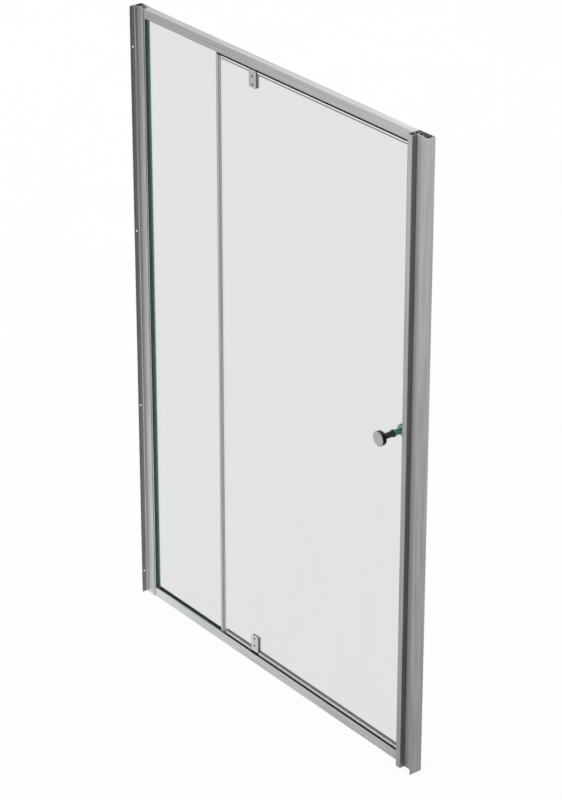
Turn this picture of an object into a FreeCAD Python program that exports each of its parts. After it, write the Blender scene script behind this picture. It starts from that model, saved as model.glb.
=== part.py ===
import FreeCAD, Part

import math
import os

from FreeCAD import Vector

# Framed pivot shower door with a fixed in-line panel, in millimetres.
# X runs along the opening from the left wall to the right wall, Y runs from the room side (-Y)
# into the shower, and Z is up. The origin is the middle of the opening, on the tray, in the
# plane of the glass.

# ---------------------------------------------------------------- driving dimensions
overall_width = 1236.0          # wall face to wall face
overall_height = 1850.0         # tray to the top of the frame

# wall channels
channel_leg = 1.25              # front and rear leg
channel_ear_reach = 16.0        # ear beyond the front leg, towards the room
channel_web = 2.0               # web and ear against the wall
channel_cover = 42.0            # wall face to the start of the visible frame
channel_reveal = 0.5            # leg ends short of the strike jamb
channel_cove = 5.0              # hollow corner between front leg and ear
channel_corner = 3.0            # rounded rear corner
channel_edge = 0.4              # rounding of ear and leg edges
slide_clearance = 0.25          # jamb inside channel, each side

# wall fixing holes in the ears
wall_hole_radius = 2.75
wall_hole_count = 4
wall_hole_first = 70.0          # from one end of the channel
wall_hole_last = 120.0          # from its other end
drill_line = 2.4                # width of the groove that marks the line of the holes
drill_line_depth = 0.6

# frame section: rails and left jamb
section_depth = 22.0            # front face to rear face
section_height = 28.0           # back of the section to its mouth
section_wall = 1.5
section_floor = 10.0            # back of the section to the floor of the glazing slot
section_edge = 0.6              # rounding of the outer corners
port_from_wall = 3.5            # middle of a screw port to the side wall
port_outer = 3.7                # radius
jamb_proud = 3.0                # left jamb's mouth beyond its channel

# strike jamb
strike_face = 18.0              # width of the face that shows
strike_wall = 1.3
strike_edge = 1.5
strike_inner_edge = 0.5

# glass
glass = 6.0
glass_arris = 0.5
glazing_grip = 4.0              # gasket legs beyond the glass edge
glazing_seat = 4.0              # gasket under the glass edge
glazing_crown = 1.0             # rounded top of the gasket at the frame

# edge profile on the free edge of the fixed glass
fixed_width = 371.5             # wall face to the door side of the edge profile
edge_face = 10.0
edge_wall = 1.6
edge_gasket = 1.4
edge_gasket_inset = 1.0         # gasket legs end inside the profile's mouth
edge_entry = 6.0                # profile ends inside the rails
edge_corner = 0.5
fin_inset = 0.6                 # base of the fin narrower than the profile
fin_base = 1.2
fin_thick = 1.2
fin_lap = 3.0                   # fin in front of the door's edge
fin_gap = 0.6                   # fin to the face of the door glass

# door leaf
door_left_gap = 4.5             # edge profile to door glass
door_right_gap = 12.5           # door glass to strike jamb
door_top_gap = 6.0              # top rail to door
door_bottom_gap = 2.6           # bottom rail to door sweep
pivot_from_edge = 146.5         # pivot axis from the left edge of the door glass

# pivot blocks
block_width = 31.0
block_height = 51.0
block_plate = 4.2
block_pad = 0.8                 # soft pad between plate and glass
block_corner = 5.0
block_edge = 0.8
block_rail_corner = 1.0         # corners at the rail side
boss_edge = 0.5
block_overhang = 2.5            # end of the block beyond the edge of the glass
bottom_block_gap = 8.5          # bottom rail to the end of the bottom block
notch_reach = 46.0              # end of the block to the bottom of the notch
notch_width = 18.0
notch_clearance = 0.5
block_screws = (18.5, 42.0)     # from the end of the block
block_screw_radius = 2.0
block_screw_head = 3.4
block_screw_sink = 2.0          # counterbore, filled by the flat head
block_screw_depth = 9.0         # shank below the head

# pivot pins, collars and bushes
pin_radius = 3.0
pin_in_block = 15.8
running_clearance = 0.05
fixed_clearance = 0.02          # pieces that are pressed or screwed together
collar_radius = 6.5
collar_clearance = 0.3
bush_length = 26.0
bush_fit = 0.1
bush_flange = 1.5
bush_flange_length = 30.0
bush_corner = 3.0
bush_bottom = 2.0               # solid beyond the bore
bush_bore_extra = 2.0           # bore beyond the end of the pin

# rounding of seals and strips
lip_edge = 0.3
leg_edge = 0.4
strip_corner = 0.8

# door edge profiles
strip_leg = 1.1                 # leg beside the glass
strip_ledge = 0.8               # base beyond the leg
strip_bond = 0.1
top_strip_base = 7.0
top_strip_total = 11.0
bottom_strip_base = 7.9
bottom_strip_total = 14.4
bottom_strip_wall = 1.3
strip_block_gap = 0.5
strip_left_inset = 8.0

# magnetic seal
seal_gap = 0.8                  # door magnet to strike magnet
seal_box = 7.5
seal_grip = 6.5
seal_wall = 0.9
seal_magnet_inset = 1.3         # root of the box to the magnet
strike_strip = 3.2
strike_strip_wall = 0.7

# infill seals in the rails over and under the door
infill_top_foot = 5.4
infill_bottom_foot = 2.0
infill_inset = 0.6              # seal narrower than the rail
infill_leg = 2.0
infill_web = 1.0
infill_root = 10.0
infill_gap = 0.5

# knob
knob_from_strike = 66.0         # knob axis from the face of the strike jamb
knob_height = 982.0
outer_knob_radius = 21.0
outer_knob_disc = 13.0
inner_knob_radius = 16.5        # smaller and closer to the glass
inner_knob_disc = 26.0
knob_neck_radius = 8.5
knob_foot_radius = 9.8
knob_foot = 3.0
knob_reach = 50.0               # glass face to the face of the knob
knob_edge = 1.1
knob_flare = 2.5                # neck widens into the disc
knob_dish = 0.8                 # depth of the dished face
knob_rim = 6.0                  # edge of the disc to the dish
knob_thread_depth = 18.0
stud_end_gap = 1.0              # stud ends short of the bottom of the thread
washer = 1.0
washer_radius = 10.5
knob_hole_radius = 5.0
sleeve_clearance = 0.2
stud_radius = 3.0

# screws
corner_screw_radius = 1.9
corner_screw_grip = 18.0        # thread in the rail's screw port
corner_head_radius = 3.4
corner_head = 2.4
access_radius = 4.6
side_screw_radius = 1.8
side_screw_end = 150.0          # first and last screw from the ends of the jamb
side_screw_tip = 4.0            # tip from the plane of the glass
side_head_radius = 4.0
side_head = 2.6
drill_clearance = 0.15

# drain slots in the rear wall of the bottom rail
weep_count = 3
weep_length = 14.0
weep_height = 3.0
weep_margin = 120.0             # first and last slot from the ends of the rail

arc_from = 1.2                  # smaller corner radii are drawn as bevels
past = 1.0                      # cuts run past the faces they open
same_place = 1e-6

# ---------------------------------------------------------------- places that follow
left_wall = -overall_width / 2
right_wall = overall_width / 2
half_section = section_depth / 2
slot_half = half_section - section_wall
half_channel = half_section + slide_clearance + channel_leg
front_plane = -half_channel - channel_ear_reach
channel_leg_end = channel_cover - channel_reveal
wall_hole_line = (front_plane - half_channel) / 2

left_mouth = left_wall + channel_cover + jamb_proud
left_back = left_mouth - section_height
port_offset = slot_half - port_from_wall
port_rise = section_floor / 2
side_screw_x = left_back + port_rise
side_screw_heights = (side_screw_end, overall_height / 2, overall_height - side_screw_end)
strike_left = right_wall - channel_cover - strike_face
strike_right = strike_left + strike_face
strike_tongue = -left_back
rail_length = strike_left - left_mouth

half_glass = glass / 2
fixed_glass_bottom = section_floor + glazing_seat
fixed_glass_top = overall_height - fixed_glass_bottom
edge_right = left_wall + fixed_width
edge_left = edge_right - edge_face
fixed_glass_left = left_back + fixed_glass_bottom
edge_half = half_glass + edge_gasket + edge_wall
fixed_glass_right = edge_right - edge_wall - edge_gasket
edge_bottom = section_height - edge_entry
edge_top = overall_height - edge_bottom

door_left = edge_right + door_left_gap
door_right = strike_left - door_right_gap
door_top = overall_height - section_height - door_top_gap
door_bottom = section_height + door_bottom_gap
pivot_x = door_left + pivot_from_edge
top_block_end = door_top
bottom_block_end = section_height + bottom_block_gap
door_glass_top = top_block_end - block_overhang
door_glass_bottom = bottom_block_end + block_overhang
pin_in_bush = section_height - section_floor - bush_bottom - bush_bore_extra
strip_leg_half = half_glass + strip_bond + strip_leg
strip_base_half = strip_leg_half + strip_ledge
infill_half = half_section - infill_inset
plate_inner = half_glass + block_pad
plate_outer = plate_inner + block_plate
knob_x = strike_left - knob_from_strike
seal_face = strike_left - strike_strip - seal_gap

# start and end of the pieces each side of the pivots
infill_short = (edge_right + infill_gap, pivot_x - bush_flange_length / 2 - infill_gap)
infill_long = (pivot_x + bush_flange_length / 2 + infill_gap, strike_left - infill_gap)
strip_short = (door_left + strip_left_inset, pivot_x - block_width / 2 - strip_block_gap)
strip_long = (pivot_x + block_width / 2 + strip_block_gap, door_right - seal_grip - strip_block_gap)


# ---------------------------------------------------------------- drawing helpers
def on_xy(a, b):
    return Vector(a, b, 0)


def on_yz(a, b):
    return Vector(0, a, b)


def on_xz(a, b):
    return Vector(a, 0, b)


def outline(corners, plane):
    """Closed wire through corners (a, b) or (a, b, radius).

    A radius gives a tangent arc, or a bevel of the same reach where it is under arc_from.
    """
    points = [plane(c[0], c[1]) for c in corners]
    radii = [c[2] if len(c) > 2 else 0 for c in corners]
    count = len(points)
    starts = []
    ends = []
    middles = []
    for i, corner in enumerate(points):
        if not radii[i]:
            starts.append(corner)
            ends.append(corner)
            middles.append(None)
            continue
        back = (points[i - 1] - corner).normalize()
        ahead = (points[(i + 1) % count] - corner).normalize()
        half_angle = back.getAngle(ahead) / 2
        reach = radii[i] / math.tan(half_angle)
        bisector = (back + ahead).normalize()
        starts.append(corner + back * reach)
        ends.append(corner + ahead * reach)
        if radii[i] < arc_from:
            middles.append(None)
        else:
            middles.append(corner + bisector * (radii[i] / math.sin(half_angle) - radii[i]))
    edges = []
    for i in range(count):
        if middles[i] is not None:
            edges.append(Part.Arc(starts[i], middles[i], ends[i]).toShape())
        elif radii[i]:
            edges.append(Part.LineSegment(starts[i], ends[i]).toShape())
        following = starts[(i + 1) % count]
        if (following - ends[i]).Length > same_place:
            edges.append(Part.LineSegment(ends[i], following).toShape())
    return Part.Wire(edges)


def bar(corners, plane, start, length, hollow=None):
    """Straight bar of one section; start is its first end, length runs square to the plane."""
    direction = plane(1, 0).cross(plane(0, 1))
    along = Vector(abs(direction.x), abs(direction.y), abs(direction.z))
    face = Part.Face(outline(corners, plane))
    if hollow:
        face = face.cut(Part.Face(outline(hollow, plane)))
    solid = face.extrude(along * length).Solids[0]
    return solid.translated(along * start)


def block(x, y, z):
    """Box between the given pairs of limits."""
    size = (x[1] - x[0], y[1] - y[0], z[1] - z[0])
    return Part.makeBox(*size, Vector(x[0], y[0], z[0]))


def rod(radius, start, direction, length):
    return Part.makeCylinder(radius, length, Vector(*start), Vector(*direction))


def turned(steps, base, direction):
    """Solid of revolution from (radius, distance, rounding) steps along a direction."""
    corners = [(0.0, steps[0][1])] + list(steps) + [(0.0, steps[-1][1])]
    wire = outline(corners, on_xz)
    solid = Part.Face(wire).revolve(Vector(0, 0, 0), Vector(0, 0, 1), 360).Solids[0]
    turn = FreeCAD.Rotation(Vector(0, 0, 1), Vector(*direction))
    solid.Placement = FreeCAD.Placement(Vector(*base), turn)
    return solid


def mirrored(solid):
    """The mirror image in the plane of the glass."""
    return solid.mirror(Vector(0, 0, 0), Vector(0, 1, 0))


def flipped(solid):
    """The solid turned over, for the top rail: heights count down from the top."""
    return solid.mirror(Vector(0, 0, overall_height / 2), Vector(0, 0, 1))


def bevel_edges(solid, size, wanted):
    """Chamfer the edges that the test picks out."""
    edges = [edge for edge in solid.Edges if wanted(edge)]
    return solid.makeChamfer(size, edges)


# ---------------------------------------------------------------- wall channels
def left_wall_channel():
    inner_half = half_channel - channel_leg
    section = [
        (0, front_plane, channel_edge),
        (channel_web, front_plane, channel_edge),
        (channel_web, wall_hole_line - drill_line / 2),
        (channel_web - drill_line_depth, wall_hole_line),
        (channel_web, wall_hole_line + drill_line / 2),
        (channel_web, -half_channel, channel_cove),
        (channel_leg_end, -half_channel, channel_edge),
        (channel_leg_end, -inner_half),
        (channel_web, -inner_half),
        (channel_web, inner_half),
        (channel_leg_end, inner_half),
        (channel_leg_end, half_channel, channel_edge),
        (0, half_channel, channel_corner),
    ]
    channel = bar(section, on_xy, 0, overall_height)
    channel.translate(Vector(left_wall, 0, 0))
    return channel.cut(wall_holes() + side_screw_holes(half_channel))


def wall_holes():
    pitch = (overall_height - wall_hole_first - wall_hole_last) / (wall_hole_count - 1)
    heights = [wall_hole_first + i * pitch for i in range(wall_hole_count)]
    through = channel_web + 2 * past
    starts = [(left_wall - past, wall_hole_line, z) for z in heights]
    return [rod(wall_hole_radius, start, (1, 0, 0), through) for start in starts]


def right_wall_channel():
    """The same extrusion as on the left, turned end for end."""
    channel = left_wall_channel()
    channel.rotate(Vector(0, 0, overall_height / 2), Vector(0, 1, 0), 180)
    return channel


# ---------------------------------------------------------------- rails and left jamb
def frame_section():
    """Outer and inner outline of the section: across the frame, and up from its back."""
    edge = section_edge
    outer = [
        (-half_section, 0, edge),
        (half_section, 0, edge),
        (half_section, section_height, edge),
        (slot_half, section_height, edge / 2),
        (slot_half, section_floor),
        (-slot_half, section_floor),
        (-slot_half, section_height, edge / 2),
        (-half_section, section_height, edge),
    ]
    inner = [
        (-slot_half, section_wall),
        (slot_half, section_wall),
        (slot_half, section_floor - section_wall),
        (-slot_half, section_floor - section_wall),
    ]
    return outer, inner


def bottom_rail_blank():
    outer, inner = frame_section()
    rail = bar(outer, on_yz, left_mouth, rail_length, inner)
    thread = corner_screw_radius + fixed_clearance
    starts = [(left_mouth, side, port_rise) for side in (-port_offset, port_offset)]
    rings = [rod(port_outer, start, (1, 0, 0), rail_length) for start in starts]
    ports = [rod(thread, start, (1, 0, 0), rail_length) for start in starts]
    return rail.fuse(rings).cut(ports).removeSplitter()


def bottom_rail():
    rail = bottom_rail_blank()
    pitch = (rail_length - 2 * weep_margin) / (weep_count - 1)
    for i in range(weep_count):
        middle = left_mouth + weep_margin + i * pitch
        slot = block(
            (middle - weep_length / 2, middle + weep_length / 2),
            (slot_half - past, half_section + past),
            (section_floor, section_floor + weep_height),
        )
        rail = rail.cut(slot)
    return rail


def top_rail():
    return flipped(bottom_rail_blank())


def corner_screw_places():
    """Centres (y, z) of the screws at the four corners of one jamb's two rails."""
    heights = (port_rise, overall_height - port_rise)
    return [(side, z) for side in (-port_offset, port_offset) for z in heights]


def left_jamb():
    outer, inner = frame_section()
    outer = [(left_back + c[1], c[0]) + tuple(c[2:]) for c in outer]
    inner = [(left_back + c[1], c[0]) for c in inner]
    jamb = bar(outer, on_xy, 0, overall_height, inner)
    cuts = side_screw_holes(half_section)
    drill = corner_screw_radius + drill_clearance
    for y, z in corner_screw_places():
        access = (left_back - past, y, z)
        cuts.append(rod(access_radius, access, (1, 0, 0), section_wall + 2 * past))
        inside = (left_back + section_wall + past, y, z)
        cuts.append(rod(drill, inside, (1, 0, 0), section_floor))
    return jamb.cut(cuts)


# ---------------------------------------------------------------- strike jamb
def strike_jamb():
    wall = strike_wall
    outer = [
        (strike_left, front_plane, strike_edge),
        (strike_right, front_plane, strike_edge),
        (strike_right, -half_section),
        (strike_tongue, -half_section),
        (strike_tongue, -half_section + wall),
        (strike_right, -half_section + wall),
        (strike_right, half_section - wall),
        (strike_tongue, half_section - wall),
        (strike_tongue, half_section),
        (strike_left, half_section, section_edge),
    ]
    inner = [
        (strike_left + wall, front_plane + wall, strike_inner_edge),
        (strike_right - wall, front_plane + wall, strike_inner_edge),
        (strike_right - wall, half_section - wall),
        (strike_left + wall, half_section - wall),
    ]
    jamb = bar(outer, on_xy, 0, overall_height, inner)
    cuts = []
    for hole in side_screw_holes(half_section):
        cuts.append(hole.mirror(Vector(0, 0, 0), Vector(1, 0, 0)))
    drill = corner_screw_radius + drill_clearance
    through = wall + 2 * past
    for y, z in corner_screw_places():
        cuts.append(rod(access_radius, (strike_right - wall - past, y, z), (1, 0, 0), through))
        cuts.append(rod(drill, (strike_left - past, y, z), (1, 0, 0), through))
    return jamb.cut(cuts)


# ---------------------------------------------------------------- frame screws
def corner_screw(start, direction, length):
    """Long screw through a jamb into a rail's port; start is under its head."""
    steps = [
        (corner_head_radius, -corner_head),
        (corner_head_radius, 0),
        (corner_screw_radius, 0),
        (corner_screw_radius, length),
    ]
    return turned(steps, start, direction)


def corner_screws_left():
    seat = left_back + section_floor - section_wall
    length = left_mouth + corner_screw_grip - seat
    places = corner_screw_places()
    return Part.makeCompound([corner_screw((seat, y, z), (1, 0, 0), length) for y, z in places])


def corner_screws_right():
    seat = strike_left + strike_wall
    length = strike_wall + corner_screw_grip
    places = corner_screw_places()
    return Part.makeCompound([corner_screw((seat, y, z), (-1, 0, 0), length) for y, z in places])


def side_screw_holes(outer_face):
    """Holes through the rear wall of the left channel or jamb."""
    radius = side_screw_radius + drill_clearance
    length = outer_face - slot_half + 2 * past
    starts = [(side_screw_x, slot_half - past, z) for z in side_screw_heights]
    return [rod(radius, start, (0, 1, 0), length) for start in starts]


def side_screws(x):
    steps = [
        (side_head_radius, -side_head),
        (side_head_radius, 0),
        (side_screw_radius, 0),
        (side_screw_radius, half_channel - side_screw_tip),
    ]
    places = [(x, half_channel, z) for z in side_screw_heights]
    return Part.makeCompound([turned(steps, place, (0, -1, 0)) for place in places])


# ---------------------------------------------------------------- fixed panel
def pane(x, z):
    """Sheet of glass with ground arrises."""
    sheet = block(x, (-half_glass, half_glass), z)
    return bevel_edges(sheet, glass_arris, lambda edge: edge.Length > 2 * glass)


def fixed_glass():
    return pane((fixed_glass_left, fixed_glass_right), (fixed_glass_bottom, fixed_glass_top))


def glazing_section():
    """U gasket in the glazing slot, across the frame and up from the back of the section."""
    legs = fixed_glass_bottom + glazing_grip
    return [
        (-slot_half, section_floor),
        (slot_half, section_floor),
        (slot_half, legs, glazing_crown),
        (half_glass, legs, lip_edge),
        (half_glass, section_floor + glazing_seat),
        (-half_glass, section_floor + glazing_seat),
        (-half_glass, legs, lip_edge),
        (-slot_half, legs, glazing_crown),
    ]


def fixed_gasket_bottom():
    return bar(glazing_section(), on_yz, left_mouth, fixed_glass_right - left_mouth)


def fixed_gasket_top():
    return flipped(fixed_gasket_bottom())


def fixed_gasket_side():
    section = [(left_back + c[1], c[0]) + tuple(c[2:]) for c in glazing_section()]
    return bar(section, on_xy, fixed_glass_bottom, fixed_glass_top - fixed_glass_bottom)


def cup_section(back, mouth, outer_half, wall, rounding):
    """U open towards the left wall, on the free edge of the fixed glass."""
    inner_half = outer_half - wall
    return [
        (mouth, -outer_half, rounding),
        (back, -outer_half, rounding),
        (back, outer_half, rounding),
        (mouth, outer_half, rounding),
        (mouth, inner_half),
        (back - wall, inner_half),
        (back - wall, -inner_half),
        (mouth, -inner_half),
    ]


def fixed_edge_profile():
    section = cup_section(edge_right, edge_left, edge_half, edge_wall, edge_corner)
    return bar(section, on_xy, edge_bottom, edge_top - edge_bottom)


def fixed_edge_gasket():
    back = edge_right - edge_wall
    mouth = edge_left + edge_gasket_inset
    section = cup_section(back, mouth, edge_half - edge_wall, edge_gasket, lip_edge)
    return bar(section, on_xy, edge_bottom, edge_top - edge_bottom)


def fixed_edge_seal():
    """Clear fin that the left edge of the door closes against."""
    half = edge_half - fin_inset
    fin_inner = -half_glass - fin_gap
    fin_outer = fin_inner - fin_thick
    base = edge_right + fin_base
    tip = door_left + fin_lap
    section = [
        (edge_right, -half),
        (base, -half, leg_edge),
        (base, fin_outer, lip_edge),
        (tip, fin_outer, leg_edge),
        (tip, fin_inner, leg_edge),
        (base, fin_inner, lip_edge),
        (base, half, leg_edge),
        (edge_right, half),
    ]
    start = section_height + infill_bottom_foot + infill_gap
    end = overall_height - section_height - infill_top_foot - infill_gap
    return bar(section, on_xy, start, end - start)


# ---------------------------------------------------------------- infill seals and bushes
def infill_section(foot):
    mouth = section_height
    root = slot_half - fixed_clearance
    return [
        (-infill_half, mouth, leg_edge),
        (-infill_half, mouth + foot, strip_corner),
        (infill_half, mouth + foot, strip_corner),
        (infill_half, mouth, leg_edge),
        (root, mouth),
        (root, mouth - infill_root, leg_edge),
        (root - infill_leg, mouth - infill_root, leg_edge),
        (root - infill_leg, mouth - infill_web),
        (infill_leg - root, mouth - infill_web),
        (infill_leg - root, mouth - infill_root, leg_edge),
        (-root, mouth - infill_root, leg_edge),
        (-root, mouth),
    ]


def infill_seal(foot, start, end):
    return bar(infill_section(foot), on_yz, start, end - start)


def pivot_bush():
    """Bearing block in the slot of the bottom rail, with a flange over its lips."""
    half = bush_length / 2
    body_half = slot_half - bush_fit
    body = block(
        (pivot_x - half, pivot_x + half),
        (-body_half, body_half),
        (section_floor, section_height),
    )
    reach = bush_flange_length / 2
    corners = [
        (pivot_x - reach, -infill_half, bush_corner),
        (pivot_x + reach, -infill_half, bush_corner),
        (pivot_x + reach, infill_half, bush_corner),
        (pivot_x - reach, infill_half, bush_corner),
    ]
    flange = bar(corners, on_xy, section_height, bush_flange)
    bore_bottom = section_height - pin_in_bush - bush_bore_extra
    bore_radius = pin_radius + running_clearance
    bore = rod(bore_radius, (pivot_x, 0, bore_bottom), (0, 0, 1), section_height)
    return body.fuse(flange).removeSplitter().cut(bore)


# ---------------------------------------------------------------- strike magnet
def strike_strip_section():
    half = strip_base_half
    outer = [
        (strike_left - strike_strip, -half, leg_edge),
        (strike_left, -half),
        (strike_left, half),
        (strike_left - strike_strip, half, leg_edge),
    ]
    wall = strike_strip_wall
    pocket = [
        (strike_left - strike_strip + wall, -half + wall),
        (strike_left - wall, -half + wall),
        (strike_left - wall, half - wall),
        (strike_left - strike_strip + wall, half - wall),
    ]
    return outer, pocket


def strike_strip_span():
    start = section_height + infill_bottom_foot + infill_gap / 2
    end = overall_height - section_height - infill_top_foot - infill_gap / 2
    return start, end - start


def strike_magnet_carrier():
    outer, pocket = strike_strip_section()
    start, length = strike_strip_span()
    return bar(outer, on_xy, start, length, pocket)


def strike_magnet():
    pocket = strike_strip_section()[1]
    start, length = strike_strip_span()
    return bar(pocket, on_xy, start, length)


# ---------------------------------------------------------------- door glass
def notch(end, inwards):
    """Space of one pivot notch: straight sides and a round bottom."""
    bottom = end + inwards * notch_reach
    centre = bottom - inwards * notch_width / 2
    open_end = end - inwards * past
    low = min(centre, open_end)
    high = max(centre, open_end)
    half = notch_width / 2
    thick = (-glass, glass)
    sides = block((pivot_x - half, pivot_x + half), thick, (low, high))
    round_end = rod(half, (pivot_x, -glass, centre), (0, 1, 0), 2 * glass)
    return sides.fuse(round_end).removeSplitter()


def door_glass():
    sheet = pane((door_left, door_right), (door_glass_bottom, door_glass_top))
    hole = rod(knob_hole_radius, (knob_x, -glass, knob_height), (0, 1, 0), 2 * glass)
    return sheet.cut([notch(top_block_end, -1), notch(bottom_block_end, 1), hole])


# ---------------------------------------------------------------- pivot blocks
def plate_outline(end, inwards):
    """Plate of the pivot block: square at the rail, rounded towards the glass."""
    half = block_width / 2
    far = end + inwards * block_height
    return [
        (pivot_x - half, end, block_rail_corner),
        (pivot_x + half, end, block_rail_corner),
        (pivot_x + half, far, block_corner),
        (pivot_x - half, far, block_corner),
    ]


def plate(end, inwards, y_start, thick):
    return bar(plate_outline(end, inwards), on_xz, y_start, thick)


def soften_face(solid, y):
    """Small bevel round the face of the plate that shows."""
    def on_face(edge):
        return all(abs(vertex.Y - y) < same_place for vertex in edge.Vertexes)
    return bevel_edges(solid, block_edge, on_face)


def pivot_screw_holes(end, inwards):
    """Counterbored holes, from the room side."""
    holes = []
    for reach in block_screws:
        z = end + inwards * reach
        holes.append(pivot_screw_shape(z, block_screw_radius + fixed_clearance, fixed_clearance))
    return holes


def pivot_screw_shape(z, radius, extra):
    depth = block_screw_sink + block_screw_depth
    steps = [
        (block_screw_head + extra, 0),
        (block_screw_head + extra, block_screw_sink),
        (radius, block_screw_sink),
        (radius, depth + extra),
    ]
    return turned(steps, (pivot_x, -plate_outer, z), (0, 1, 0))


def pivot_cover(end, inwards):
    cover = plate(end, inwards, -plate_outer, block_plate)
    cover = soften_face(cover, -plate_outer)
    return cover.cut(pivot_screw_holes(end, inwards))


def pivot_body(end, inwards):
    """Rear plate with the boss that fills the notch and carries the pin."""
    back = plate(end, inwards, plate_inner, block_plate)
    back = soften_face(back, plate_outer)
    half = notch_width / 2 - notch_clearance
    bottom = end + inwards * (notch_reach - notch_clearance)
    boss_outline = [
        (pivot_x - half, end, boss_edge),
        (pivot_x + half, end, boss_edge),
        (pivot_x + half, bottom, half),
        (pivot_x - half, bottom, half),
    ]
    boss = bar(boss_outline, on_xz, -plate_inner, 2 * plate_inner)
    body = back.fuse(boss).removeSplitter()
    socket = rod(pin_radius + fixed_clearance, (pivot_x, 0, end), (0, 0, inwards), pin_in_block)
    return body.cut([socket] + pivot_screw_holes(end, inwards))


def pivot_pad(end, inwards, side):
    """Soft pad between plate and glass, cut out round the boss."""
    glass_edge = end + inwards * block_overhang
    half = block_width / 2
    far = end + inwards * block_height
    corners = [
        (pivot_x - half, glass_edge),
        (pivot_x + half, glass_edge),
        (pivot_x + half, far, block_corner),
        (pivot_x - half, far, block_corner),
    ]
    y_start = half_glass if side > 0 else -plate_inner
    pad = bar(corners, on_xz, y_start, block_pad)
    return pad.cut(notch(end, inwards))


def pivot_screws(end, inwards):
    screws = []
    for reach in block_screws:
        z = end + inwards * reach
        screws.append(pivot_screw_shape(z, block_screw_radius, 0))
    return Part.makeCompound(screws)


def pivot_pin(end, inwards, gap):
    length = pin_in_block + gap + pin_in_bush
    return rod(pin_radius, (pivot_x, 0, end + inwards * pin_in_block), (0, 0, -inwards), length)


def pivot_collar(end, inwards, gap):
    """Thrust collar on the pin, between block and bush."""
    tall = gap - bush_flange - collar_clearance
    collar = rod(collar_radius, (pivot_x, 0, end), (0, 0, -inwards), tall)
    return collar.cut(rod(pin_radius + fixed_clearance, (pivot_x, 0, end), (0, 0, -inwards), tall))


# ---------------------------------------------------------------- door edge profiles
def top_strip(start, end):
    base = strip_base_half
    leg = strip_leg_half
    slot = half_glass + strip_bond
    low = door_top - top_strip_total
    ledge = door_top - top_strip_base
    seat = door_glass_top + strip_bond
    section = [
        (-base, door_top, strip_corner),
        (base, door_top, strip_corner),
        (base, ledge, lip_edge),
        (leg, ledge),
        (leg, low, leg_edge),
        (slot, low, lip_edge),
        (slot, seat),
        (-slot, seat),
        (-slot, low, lip_edge),
        (-leg, low, leg_edge),
        (-leg, ledge),
        (-base, ledge, lip_edge),
    ]
    return bar(section, on_yz, start, end - start)


def bottom_strip(start, end):
    base = strip_base_half
    leg = strip_leg_half
    slot = half_glass + strip_bond
    high = door_bottom + bottom_strip_total
    ledge = door_bottom + bottom_strip_base
    seat = door_glass_bottom - strip_bond
    wall = bottom_strip_wall
    section = [
        (-base, door_bottom, strip_corner),
        (base, door_bottom, strip_corner),
        (base, ledge, lip_edge),
        (leg, ledge),
        (leg, high, leg_edge),
        (slot, high, lip_edge),
        (slot, seat),
        (-slot, seat),
        (-slot, high, lip_edge),
        (-leg, high, leg_edge),
        (-leg, ledge),
        (-base, ledge, lip_edge),
    ]
    chamber = [
        (wall - base, door_bottom + wall, leg_edge),
        (base - wall, door_bottom + wall, leg_edge),
        (base - wall, seat - wall, leg_edge),
        (wall - base, seat - wall, leg_edge),
    ]
    return bar(section, on_yz, start, end - start, chamber)


# ---------------------------------------------------------------- magnetic seal on the door
def door_seal_sections():
    base = strip_base_half
    leg = strip_leg_half
    slot = half_glass + strip_bond
    grip = door_right - seal_grip
    root = seal_face - seal_box
    seat = door_right + strip_bond
    outer = [
        (grip, -leg, leg_edge),
        (root, -leg),
        (root, -base, lip_edge),
        (seal_face, -base, strip_corner),
        (seal_face, base, strip_corner),
        (root, base, lip_edge),
        (root, leg),
        (grip, leg, leg_edge),
        (grip, slot, lip_edge),
        (seat, slot),
        (seat, -slot),
        (grip, -slot, lip_edge),
    ]
    wall = seal_wall
    pocket = [
        (root + seal_magnet_inset, wall - base),
        (seal_face - wall, wall - base, lip_edge),
        (seal_face - wall, base - wall, lip_edge),
        (root + seal_magnet_inset, base - wall),
    ]
    return outer, pocket


def door_seal():
    outer, pocket = door_seal_sections()
    return bar(outer, on_xy, door_bottom, door_top - door_bottom, pocket)


def door_magnet():
    pocket = door_seal_sections()[1]
    return bar(pocket, on_xy, door_bottom, door_top - door_bottom)


# ---------------------------------------------------------------- knobs
def turned_knob(knob_radius, knob_disc):
    """Turned knob on the room side: foot, neck, flare and disc with a dished face."""
    knob_dish_radius = knob_radius - knob_rim
    face = knob_reach - washer
    back = face - knob_disc
    steps = [
        (knob_foot_radius, 0),
        (knob_foot_radius, knob_foot),
        (knob_neck_radius, knob_foot),
        (knob_neck_radius, back - knob_flare),
        (knob_neck_radius + knob_flare, back),
        (knob_radius, back),
        (knob_radius, face, knob_edge),
        (knob_dish_radius + knob_dish, face),
        (knob_dish_radius, face - knob_dish),
    ]
    knob = turned(steps, (knob_x, -half_glass - washer, knob_height), (0, -1, 0))
    thread = rod(
        stud_radius + fixed_clearance,
        (knob_x, -half_glass - washer, knob_height),
        (0, -1, 0),
        knob_thread_depth,
    )
    return knob.cut(thread)


def knob_washer_outer():
    """Flanged washer: the flange on the glass, the sleeve in its hole."""
    start = (knob_x, -half_glass - washer, knob_height)
    flange = rod(washer_radius, start, (0, 1, 0), washer)
    sleeve_length = washer + half_glass - sleeve_clearance
    sleeve = rod(knob_hole_radius - sleeve_clearance, start, (0, 1, 0), sleeve_length)
    bore = rod(stud_radius + fixed_clearance, start, (0, 1, 0), sleeve_length)
    return flange.fuse(sleeve).removeSplitter().cut(bore)


def knob_stud():
    half = half_glass + washer + knob_thread_depth - stud_end_gap
    return rod(stud_radius, (knob_x, -half, knob_height), (0, 1, 0), 2 * half)


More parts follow.
